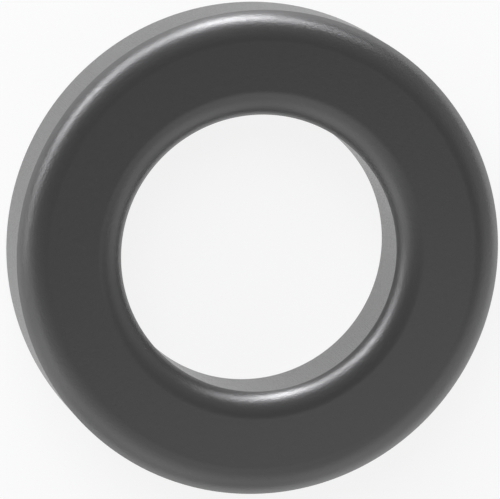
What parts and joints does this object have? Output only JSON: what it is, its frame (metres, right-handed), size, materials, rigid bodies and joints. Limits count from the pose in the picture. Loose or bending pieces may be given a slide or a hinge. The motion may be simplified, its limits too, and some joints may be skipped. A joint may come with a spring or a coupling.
{
  "type": "ferrite toroid core",
  "caption": "Dark grey sintered ferrite ring with a round bore, straight walls and wide rounded shoulders, for winding inductors and transformers.",
  "frame": {"origin": "centre of the lower face, on the ring's axis", "axes": "+Z along the ring's axis, out of the upper face; the ring lies flat on its lower face"},
  "size_m": [0.061, 0.061, 0.0127],
  "materials": {
    "sintered_ferrite": "satin"
  },
  "bodies": {
    "root": {"ferrite_core": "sintered_ferrite"}
  },
  "joints": []
}
